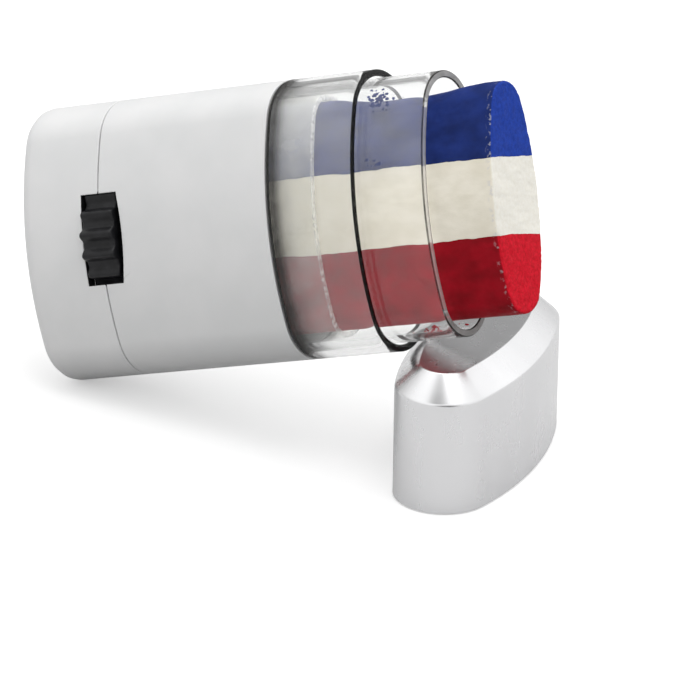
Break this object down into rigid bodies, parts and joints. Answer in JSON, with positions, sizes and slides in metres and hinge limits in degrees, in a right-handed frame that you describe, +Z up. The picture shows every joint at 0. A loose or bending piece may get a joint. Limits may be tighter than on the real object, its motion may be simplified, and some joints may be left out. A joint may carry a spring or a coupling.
{
  "type": "push-up colour stick",
  "caption": "Oval push-up stick of tri-colour face and body make-up with a side dial, clear neck and pull-off cap, leaning on the cap.",
  "frame": {"origin": "on the table, under the middle of the whole arrangement's bounding box", "axes": "+Z up; +X along the barrel's horizontal direction, from its base towards its open end and the cap; +Y to the left of that"},
  "size_m": [0.0874, 0.0396, 0.0582],
  "materials": {
    "white_plastic": "satin",
    "clear_plastic": "clear, polished",
    "black_plastic": "satin moulded",
    "natural_plastic": "milky, translucent",
    "screw_plastic": "moulded",
    "silver_metal": "satin silver",
    "liner_plastic": "moulded",
    "blue_colour": "waxy",
    "white_colour": "waxy",
    "red_colour": "waxy"
  },
  "bodies": {
    "barrel": {"base_cup": "white_plastic", "barrel_sleeve": "white_plastic", "clear_collar": "clear_plastic", "clear_barrel": "clear_plastic"},
    "dial": {"thumbwheel": "black_plastic", "lead_screw": "screw_plastic"},
    "elevator": {"elevator_cup": "natural_plastic", "colour_bar_blue": "blue_colour", "colour_bar_white": "white_colour", "colour_bar_red": "red_colour"},
    "cap": {"cap_shell": "silver_metal", "cap_liner": "liner_plastic"}
  },
  "joints": [
    {"name": "dial_turn", "type": "hinge", "parent": "barrel", "child": "dial", "pos_m": [-0.03823, -0.0039, 0.01776], "axis": [-0.9489, 0, -0.3156], "range_deg": [-1440, 1920]},
    {"name": "elevator_slide", "type": "slide", "parent": "barrel", "child": "elevator", "axis": [0.9489, 0, 0.3156], "range_m": [-0.01205, 0.01605]},
    {"name": "cap_slide", "type": "slide", "parent": "barrel", "child": "cap", "axis": [1, 0, 0], "range_m": [0, 0.05]}
  ],
  "couplings": [
    {"joint": "elevator_slide", "follows": "dial_turn", "m_per_rad": 0.00047746}
  ]
}
